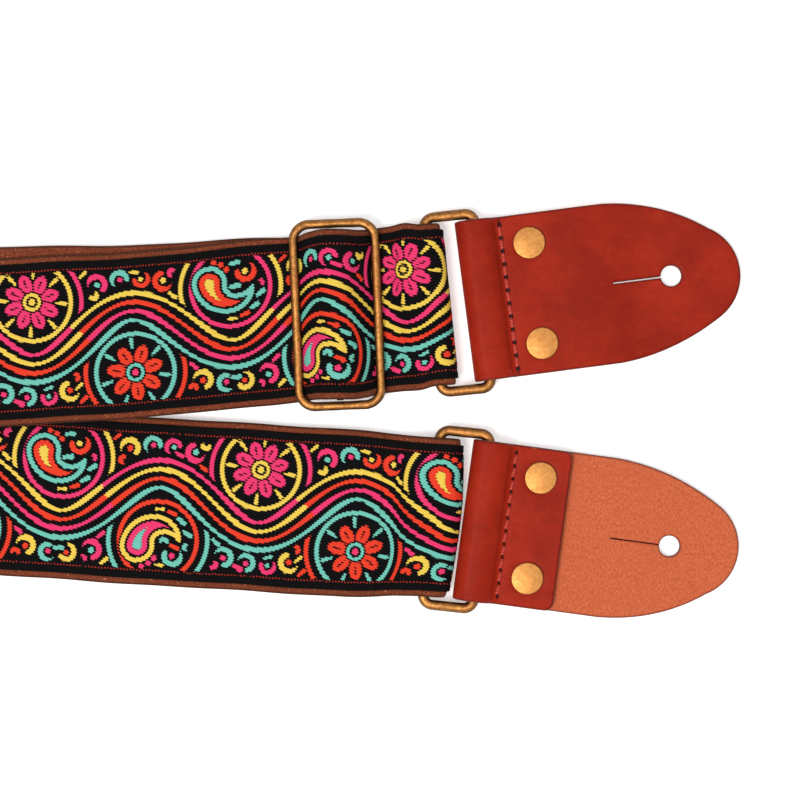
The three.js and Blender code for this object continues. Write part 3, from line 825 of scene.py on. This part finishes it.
def turned(name, profile, sides, to_layout, material, body, node, wear_and_shade):
    """A turned piece from (radius, height) rows, each with its wear and painted shade level. The first and
    last lie on the axis.
    """
    profile = np.array(profile, float)
    local, level = [(0, 0, profile[0, 1])], [wear_and_shade[0]]
    for (r, z), w in zip(profile[1:-1], wear_and_shade[1:-1]):
        local += [(r * cos(a), r * sin(a), z) for a in around(sides)]
        level += [w] * sides
    local.append((0, 0, profile[-1, 1]))
    level.append(wear_and_shade[-1])
    faces = [[0, 1 + (k + 1) % sides, 1 + k] for k in range(sides)]
    rows = len(profile) - 2
    faces += [[1 + corner for corner in quad] for quad in quads(rows, sides)]
    a, tip = 1 + (rows - 1) * sides, len(local) - 1
    faces += [[tip, a + k, a + (k + 1) % sides] for k in range(sides)]
    piece = make_mesh(name, to_layout(np.array(local)), faces, [material], values={"wear_and_shade": level})
    assign(piece, body, "brass", node)


def bar_place(local):
    """Stands a turned piece's axis along the slider's long way."""
    lx, lz, ly = local.T
    return np.stack([*spun(lx, ly, SLIDER_TILT, SLIDER_X, SLIDER_Y), SLIDER_Z + lz], 1)


BAR_HALF = (SLIDER["long"] - 4 * SLIDER_R - 0.4) / 2
bar_profile = [(0, -BAR_HALF), (0.9, -BAR_HALF), (SLIDER_R, -BAR_HALF + 0.5)]
bar_profile += [(SLIDER_R, y) for y in np.linspace(-BAR_HALF + 2, BAR_HALF - 2, 24)]
bar_profile += [(SLIDER_R, BAR_HALF - 0.5), (0.9, BAR_HALF), (0, BAR_HALF)]
bar_wear = [0.4] * 3 + [0.85] * 24 + [0.4] * 3
turned("slider_bar", bar_profile, 24, bar_place, WIRE, "slider", "slider_middle_bar", bar_wear)


# ---- leather ends
LEATHER_T, LEATHER_HALF, LEATHER_LONG, FLAP = 2.4, 24.5, 85.0, 30.7
BEND_R, FOOT_R, CROWN = 2.2, 4.5, 6.0
STITCH_X, STITCH_PITCH, STITCH_COUNT = 13.4, 4.0, 11
RIVET_X, RIVET_Y, RIVET_R, POST_R = 21.8, 15.4, 4.9, 1.5
BUTTON_X, BUTTON_R, SLIT = 63.7, 3.15, 15.0
LEATHER_PACE, SOFT_EDGE = 1.3, 0.3

hump_rise = 2 * BEND_R - GAP
hump_foot = CROWN + reach(hump_rise, FOOT_R)
round_bar = [
    *s_bend("right", hump_rise, FOOT_R),
    ("line", CROWN - BEND_R - LEATHER_T),
    ("left", pi, BEND_R),
]
FOLD_AT = BEND_R + LEATHER_T
LEAF_FOOT, LEAF_R = 60.3, 60.0
LEAF_UP = (
    (LEATHER_LONG + 2, 0, pi),
    [
        ("line", LEATHER_LONG + 2 - LEAF_FOOT),
        *s_bend("right", HIGH, LEAF_R),
        ("line", LEAF_FOOT - reach(HIGH, LEAF_R) - hump_foot),
        *round_bar,
        ("line", FLAP - FOLD_AT),
    ],
)
FLAP_UP = (
    (FLAP, HIGH, pi),
    [("line", FLAP - hump_foot), *round_bar, ("line", LEATHER_LONG + 2 - FOLD_AT)],
)
STITCH_YS = [(i - STITCH_COUNT / 2) * STITCH_PITCH for i in range(STITCH_COUNT + 1)]


def quadratic(p0, p1, p2, n):
    t = np.linspace(0, 1, n)[:, None]
    p0, p1, p2 = (np.array(p, float) for p in (p0, p1, p2))
    return (1 - t) ** 2 * p0 + 2 * t * (1 - t) * p1 + t * t * p2


def leaf_edge(s):
    """The rounded tip's outline, from side to side. s is 1, or -1 for its mirror image."""
    a0, a1 = degrees(atan2(-13.2, 8.3)), degrees(atan2(13.7, 7.8))
    out = quadratic((44.7, -LEATHER_HALF), (62, -23.6), (77.5, -14.1), 26)
    tip = arc(69.1, -0.7, 15.8, 15.8, a0, a1, 36)[1:-1]
    back = quadratic((76.9, 13.0), (63, 23.6), (44.7, LEATHER_HALF), 26)
    return np.concatenate([out, tip, back]) * [1, s]


def circle(cx, cy, rx, ry, n):
    a = -around(n)
    return np.stack([cx + rx * np.cos(a), cy + ry * np.sin(a)], 1)


def inset(loop, amount):
    """The loop moved into the material, which is on its left."""
    ahead = unit(np.roll(loop, -1, 0) - loop) + unit(loop - np.roll(loop, 1, 0))
    return loop + amount * unit(np.stack([-ahead[:, 1], ahead[:, 0]], 1))


def inside(points, loop):
    """Which points a closed loop holds."""
    x, y = points.T
    held = np.zeros(len(points), bool)
    for (x0, y0), (x1, y1) in zip(loop, np.roll(loop, -1, 0)):
        if y0 == y1:
            continue
        crosses = (y0 > y) != (y1 > y)
        held ^= crosses & (x < (x1 - x0) * (y - y0) / (y1 - y0) + x0)
    return held


def area(loop):
    """A loop's area, negative where it goes clockwise."""
    after = np.roll(loop, -1, 0)
    return np.sum(loop[:, 0] * after[:, 1] - after[:, 0] * loop[:, 1]) / 2


def in_leather(points, loops):
    """Which points lie inside the first loop and outside the others."""
    held = inside(points, loops[0])
    for hole in loops[1:]:
        held &= ~inside(points, hole)
    return held


def gap_to(points, marks):
    """Each point's distance to the nearest of marks."""
    apart = points[:, None] - marks[None]
    return np.min(np.hypot(apart[..., 0], apart[..., 1]), axis=1)


def rise_between(value, low, high):
    t = np.clip((value - low) / (high - low), 0, 1)
    return t * t * (3 - 2 * t)


def resampled(points, pace):
    """The open polyline with points no further apart than pace."""
    out = [points[0]]
    for a, b in zip(points[:-1], points[1:]):
        n = max(1, ceil(np.hypot(*(b - a)) / pace))
        out += [a + (b - a) * k / n for k in range(1, n + 1)]
    return np.array(out)


def loop_marks(loops):
    """Points close together on closed loops."""
    return np.concatenate([resampled(np.vstack([loop, loop[:1]]), 0.4) for loop in loops])


def leather_end(end, route, leaf_on_top, slit_width, hole_size, to_layout):
    start, steps = route
    line = walk(start, steps, 0.2)
    run = run_along(line, LEATHER_T)
    upper = np.arange(len(line)) < np.argmin(line[:, 0])
    lower = ~upper

    def run_at(x, part):
        order = np.argsort(line[part, 0])
        return np.interp(x, line[part, 0][order], run[part][order])

    leaf = upper if leaf_on_top else lower
    out = 1 if leaf_on_top else -1
    leaf_points = leaf_edge(out)
    leaf_points = np.stack([run_at(leaf_points[:, 0], leaf), leaf_points[:, 1]], 1)
    flap_end = run[-1] if leaf_on_top else 0.0
    r = 2.5
    corner = np.radians(np.linspace(90, 0, 7))
    first = leaf_points[-1, 1] / LEATHER_HALF
    turn_in = []
    for a in corner:
        x = flap_end - out * r + out * r * cos(a)
        turn_in.append((x, first * (LEATHER_HALF - r + r * sin(a))))
    turn_out = [(x, -y) for x, y in turn_in[::-1]]
    edge = resampled(np.array([*leaf_points, *turn_in, *turn_out, leaf_points[0]]), LEATHER_PACE)[:-1]
    outline = edge if area(edge) > 0 else edge[::-1]

    # The button hole with its slit, the rivets' posts and the stitch holes, each with material on its left
    button_s = float(run_at(BUTTON_X, leaf))
    toward = -1 if run_at(BUTTON_X + 1, leaf) > button_s else 1
    half_angle = asin(slit_width / 2 / BUTTON_R)
    a = np.linspace(half_angle, TAU - half_angle, 40)
    rim = np.stack([BUTTON_R * np.cos(a), BUTTON_R * np.sin(a)], 1)
    far = BUTTON_R + SLIT
    lips = np.linspace(BUTTON_R * cos(half_angle), far, 14)[1:]
    slit_in = np.stack([lips, np.full(13, -slit_width / 2)], 1)
    keyhole = np.concatenate([rim, slit_in, [(far + slit_width / 3, 0)], slit_in[::-1] * [1, -1]])
    keyhole = keyhole * [toward, 1] + [button_s, 0]
    if area(keyhole) > 0:
        keyhole = keyhole[::-1]
    layers = {True: upper, False: lower}
    rivet_s = {layer: float(run_at(RIVET_X, part)) for layer, part in layers.items()}
    rivets = [(s, side * RIVET_Y, layer) for layer, s in rivet_s.items() for side in (1, -1)]
    stitch_s = {layer: float(run_at(STITCH_X, part)) for layer, part in layers.items()}
    stitches = [circle(stitch_s[layer], y, *hole_size, 12) for layer in (True, False) for y in STITCH_YS]
    loops = [(outline, SOFT_EDGE), (keyhole, min(SOFT_EDGE, 0.22))]
    loops += [(loop, 0.12) for loop in stitches]
    loops += [(circle(s, y, POST_R + 0.2, POST_R + 0.2, 20), 0.12) for s, y, _ in rivets]
    starts = [inset(loop, soft) for loop, soft in loops]

    # Points inside, closer together round the bar, the rivets and the seam
    flat = np.arange(0.8, run[-1], LEATHER_PACE)
    bend = np.abs(np.interp(flat, run, np.gradient(line[:, 2], run))) > 0.02
    bends = run[(np.abs(np.gradient(line[:, 2], run)) > 0.02)]
    rows = np.concatenate([flat[~bend], np.arange(bends.min(), bends.max(), 0.32)])
    grid_s, grid_v = np.meshgrid(rows, np.arange(-LEATHER_HALF, LEATHER_HALF, LEATHER_PACE), indexing="ij")
    grid = np.stack([grid_s.ravel(), grid_v.ravel()], 1)
    special = [circle(s, y, r, r, 44) for s, y, _ in rivets for r in (2.6, 3.6, 4.7, 4.95, 5.2, 5.5, 6.1)]
    seam_v = np.arange(-23.6, 23.7, 0.8)
    for s in stitch_s.values():
        special += [np.stack([np.full(len(seam_v), s + d), seam_v], 1) for d in (-1.3, -0.9, 0.9, 1.3)]
    for s, y, _ in rivets:
        grid = grid[np.hypot(grid[:, 0] - s, grid[:, 1] - y) > 6.6]
    for s in stitch_s.values():
        grid = grid[np.abs(grid[:, 0] - s) > 1.7]
    inner = np.concatenate([grid, *special])
    boundary = np.concatenate(starts)
    keep = in_leather(inner, starts) & (gap_to(inner, loop_marks(starts)) > 0.3)
    vertices = np.concatenate([boundary, inner[keep]])
    edges, at = [], 0
    for loop in starts:
        n = len(loop)
        edges += [(at + k, at + (k + 1) % n) for k in range(n)]
        at += n
    made = delaunay_2d_cdt([tuple(p) for p in vertices], edges, [], 1, 1e-5)
    flat_points = np.array([tuple(p) for p in made[0]])
    tris = np.array(made[2])
    tris = tris[in_leather(flat_points[tris].mean(1), starts)]
    used = {old: new for new, olds in enumerate(made[3]) for old in olds}

    def shape(points, depth):
        s, v = points.T
        x, z, h = (np.interp(s, run, line[:, k]) for k in range(3))
        local = np.stack([x + depth * np.sin(h), v, z - depth * np.cos(h)], 1)
        return to_layout(local)

    s, v = flat_points.T
    outer = LEATHER_T + 0.03 * np.sin(s / 6.3 + 1) * np.sin(v / 7.7) - 0.03
    for layer, at_s in stitch_s.items():
        press = 0.22 if layer else 0.55
        outer -= press * np.exp(-(((s - at_s) / 0.75) ** 2)) * (np.abs(v) < 23)
    for at_s, at_v, on_top in rivets:
        depth, inner_r, outer_r = (0.16, 4.9, 6.3) if on_top else (1.22, 4.95, 5.5)
        outer -= depth * (1 - rise_between(np.hypot(s - at_s, v - at_v), inner_r, outer_r))
    edge_marks = loop_marks(starts[: 2 + len(stitches)])
    if slit_width < 0.3:  # a closed slit has no dark rim of its own
        on_slit = (np.abs(edge_marks[:, 1]) < 0.5) & (np.abs(edge_marks[:, 0] - button_s) > BUTTON_R + 0.3)
        edge_marks = edge_marks[~(on_slit & (np.abs(edge_marks[:, 0] - button_s) < far + 1))]
    rim_gap = gap_to(flat_points, edge_marks)
    n = len(flat_points)
    points = [shape(flat_points, outer), shape(flat_points, 0.02 * np.sin(s / 4.1) * np.sin(v / 5.3) + 0.02)]
    rims = [rim_gap, rim_gap]
    faces = tris.tolist() + (tris[:, ::-1] + n).tolist()
    sides = [0] * len(tris) + [1] * len(tris)
    at, base = 2 * n, 0
    for (loop, soft), begin in zip(loops, starts):
        m = len(loop)
        tops = [used[base + k] for k in range(m)]
        rings = [tops]
        for share, bulge in ((0.9, 0.6), (0.72, 1.0), (0.28, 1.0), (0.1, 0.6)):
            ring = begin + (loop - begin) * bulge
            points.append(shape(ring, share * outer[tops]))
            rims.append(np.zeros(m))
            rings.append(list(range(at, at + m)))
            at += m
        rings.append([n + k for k in tops])
        for high, low in zip(rings[:-1], rings[1:]):
            faces += [[high[(k + 1) % m], high[k], low[k], low[(k + 1) % m]] for k in range(m)]
            sides += [2] * m
        base += m
    name, rim_values = f"leather_end_{end}", {"rim": np.concatenate(rims)}
    piece = make_mesh(name, np.concatenate(points), faces, LEATHER_SIDES, values=rim_values, sides=sides)
    assign(piece, f"end_{end}", "leather", f"leather_{end}")


# ---- threads
def tube(path, radius, squash=1.0, sides=10):
    """A closed tube along a path, with rounded ends. squash flattens it upright."""
    path = np.asarray(path, float)
    d = unit(np.gradient(path, axis=0))
    side = unit(np.cross(d, [0, 0, 1.0]))
    up = np.cross(side, d)
    angles = around(sides)
    n = len(path)
    size = np.full(n, radius)
    size[[0, -1]] *= 0.45
    offset = side[:, None] * np.cos(angles)[:, None] + up[:, None] * np.sin(angles)[:, None] * squash
    points = path[:, None] + offset * size[:, None, None]
    faces = quads(n, sides) + end_caps(n, sides)
    run = np.r_[0, np.cumsum(np.linalg.norm(np.diff(path, axis=0), axis=1))]
    uv = np.stack(np.broadcast_arrays(run[:, None], angles[None, :] / pi), -1).reshape(-1, 2)
    return points.reshape(-1, 3), faces, uv


def thread_piece(name, tubes, material, body, node, in_hole_shade=()):
    """The extra tubes lie down in the stitch holes and are coloured near-black there: painted shade in the
    holes.
    """
    points, faces, uvs, dark, at = [], [], [], [], 0
    for p, f, uv in [*tubes, *in_hole_shade]:
        points.append(p)
        uvs.append(uv)
        dark.append(np.full(len(p), float(len(dark) >= len(tubes))))
        faces += [[k + at for k in face] for face in f]
        at += len(p)
    hole_shade_values = {"in_hole_shade": np.concatenate(dark)}
    piece = make_mesh(name, np.concatenate(points), faces, [material], uv=np.concatenate(uvs), values=hole_shade_values)
    assign(piece, body, "thread", node)


def stitch_path(y0, y1, x, slant, surface, up):
    """One stitch from hole to hole: out of the first, over the leather and into the next."""
    t = np.linspace(0, 1, 15)
    hug = np.minimum(1, 6 * np.minimum(t, 1 - t))
    z = surface + up * (-0.95 + 1.12 * rise_between(hug, 0, 1) + 0.1 * np.sin(pi * t))
    y = y0 + (y1 - y0) * (0.14 + 0.72 * t)
    return np.stack([x + slant * (t - 0.5), y, z], 1)


def cap_profile():
    """A rivet's post, rim and domed top."""
    seat = STACK + 0.05
    rows = [(0, 1.7, 1), (POST_R, 1.7, 1), (POST_R, seat, 0.3), (4.3, seat, 0.2), (4.7, seat + 0.08, 0.3)]
    # The rim's outer, downward face gets a low value, which darkens it: painted shade.
    for a in np.radians(np.linspace(-30, 80, 7)):
        r, z = RIVET_R - 0.34 + 0.34 * cos(a), seat + 0.36 + 0.32 * sin(a)
        rows.append((r, z, 0.55 + 0.45 * sin(a)))
    for r in np.linspace(4.3, 0.4, 13):
        rows.append((r, seat + 0.69 + 0.31 * (1 - (r / 4.3) ** 2), 0.95))
    rows.append((0, seat + 1.0, 0.95))
    return [(r, z) for r, z, _ in rows], [w for _, _, w in rows]


def base_profile():
    """A rivet's lower cap, let into the leather, with a struck hollow."""
    hollow = [(0, 0.38), (0.7, 0.36), (1.15, 0.22), (1.6, 0.1), (3.6, 0.04)]
    rim = [(4.4, 0.12), (4.75, 0.34), (4.85, 0.7), (4.7, 1.02), (0, 1.06)]
    return hollow + rim, [0.45, 0.5, 0.7, 0.9, 0.95, 0.85, 0.5, 0.3, 0.3, 0.3]


ENDS = {
    "a": (LEAF_UP, True, 7.4, (5.6, 0.1), 0.42, (0.56, 0.78), 0.0),
    "b": (FLAP_UP, False, -7.7, (5.8, 0.3), 0.04, (0.34, 0.42), 0.5),
}
for end, (route, leaf_on_top, turn, bar_at, slit_width, hole_size, slant) in ENDS.items():
    x, y, tilt = RINGS[end]
    wire_x, wire_y = spun(HALF_RING, 0, tilt, x, y)
    back_x, back_y = spun(bar_at[0], 0, turn)
    fold = (wire_x - back_x, wire_y - back_y + bar_at[1])

    def to_layout(local, turn=turn, fold=fold, shift=(0, 0)):
        lx, ly = local[:, 0] + shift[0], local[:, 1] + shift[1]
        return np.stack([*spun(lx, ly, turn, *fold), local[:, 2]], 1)

    leather_end(end, route, leaf_on_top, slit_width, hole_size, to_layout)
    tubes = []
    for y0, y1 in zip(STITCH_YS[:-1], STITCH_YS[1:]):
        lean = slant + float(RNG.uniform(-0.12, 0.12))
        thick = 0.4 + 0.1 * (hole_size[0] > 0.5)
        tubes.append(tube(to_layout(stitch_path(y0, y1, STITCH_X, lean, STACK - 0.12, 1)), thick, 0.75))
        tubes.append(tube(to_layout(stitch_path(y0, y1, STITCH_X, -lean, 0.5, -1)), 0.4, 0.75))
    # Thread plugs down in each stitch hole, coloured near-black: painted shade in the holes.
    hole_shade_plugs = []
    for y0 in STITCH_YS:
        levels = np.linspace(0.9, STACK - 0.9, 6)
        hole_shade_plug = np.array([[STITCH_X, y0 + 0.001 * k, z] for k, z in enumerate(levels)])
        hole_shade_plugs.append(tube(to_layout(hole_shade_plug), hole_size[0] + 0.08, sides=14))
    thread_piece(f"seam_thread_{end}", tubes, CORAL_THREAD, f"end_{end}", f"leather_thread_{end}", hole_shade_plugs)
    for tag, side in (("upper", 1), ("lower", -1)):
        for kind, (profile, wear_and_shade) in (("cap", cap_profile()), ("base", base_profile())):
            spot = lambda local, side=side: to_layout(local, shift=(RIVET_X, side * RIVET_Y))
            node = f"rivet_{kind}_{end}_{tag}"
            turned(f"{node}_brass", profile, 48, spot, CAP, f"end_{end}", node, wear_and_shade)

# The box seam that holds the turned-back end
SEAM_X, SEAM_V = (-146.0, -124.0), (-18.0, 12.0)
corners = [(x, v) for x in SEAM_X for v in SEAM_V]
seams = [(0, 1), (2, 3), (0, 2), (1, 3), (0, 3), (1, 2)]
dashes = []
for i, j in seams:
    a, b = np.array(corners[i]), np.array(corners[j])
    long = np.hypot(*(b - a))
    count = round(long / 3.2)
    for k in range(count):
        t = np.linspace(k + 0.12, k + 0.88, 9) / count
        at = a + (b - a) * t[:, None]
        lift = STACK + 0.1 + 0.16 * np.sin(np.linspace(0, pi, 9))
        dashes.append(tube(place(LOWER, at[:, 0], at[:, 1], lift), 0.24, 0.8, 8))
thread_piece("box_seam_thread", dashes, BLACK_THREAD, "strap", "box_seam")

# ---- table, lights and camera
floor_mesh = bpy.data.meshes.new("floor")
floor_corners = [(4 * x, 4 * y, -0.0002) for x, y in ((-1, -1), (1, -1), (1, 1), (-1, 1))]
floor_mesh.from_pydata(floor_corners, [], [[0, 1, 2, 3]])
floor = link(bpy.data.objects.new("floor", floor_mesh))
paper = Shade("floor_paper")
white = {"Emission_Color": (1, 1, 1, 1), "Emission_Strength": 0.4}
floor_mesh.materials.append(paper.finish(Base_Color=(0.93, 0.93, 0.93, 1), Roughness=0.9, **white))
floor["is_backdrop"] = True

CENTRE = np.array(row_point(0, 0))


def area_light(name, offset, size, energy, colour=(1, 1, 1)):
    light = bpy.data.lights.new(name, "AREA")
    light.size, light.energy, light.color = size, energy, colour
    lamp = link(bpy.data.objects.new(name, light))
    lamp.location = CENTRE + offset
    away = np.array(offset) / np.linalg.norm(offset)
    lamp.rotation_euler = (acos(away[2]), 0, atan2(away[1], away[0]) + pi / 2)


area_light("key", (-0.55, -0.5, 1.65), 0.8, 24, (1.0, 0.985, 0.96))
area_light("fill", (0.7, 0.5, 1.7), 1.6, 9)
world = bpy.data.worlds.new("studio")
world.use_nodes = True
sky = world.node_tree.nodes["Background"].inputs
sky["Color"].default_value, sky["Strength"].default_value = (1, 1, 1, 1), 0.3
bpy.context.scene.world = world
bpy.context.scene.view_settings.view_transform = "Standard"

SHOWN, FAR = 243.2 * MM, 0.7
camera = bpy.data.objects.new("camera", bpy.data.cameras.new("camera"))
camera.data.sensor_width = 36
camera.data.lens = 36 * (FAR - STACK * MM) / SHOWN
camera.data.clip_start = 0.01
camera.location = CENTRE + (0, 0, FAR)
bpy.context.scene.camera = link(camera)

sizes = {"cad": CAD_BOX, "visual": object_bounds()}
plain = {key: [[float(c) for c in corner] for corner in box] for key, box in sizes.items()}
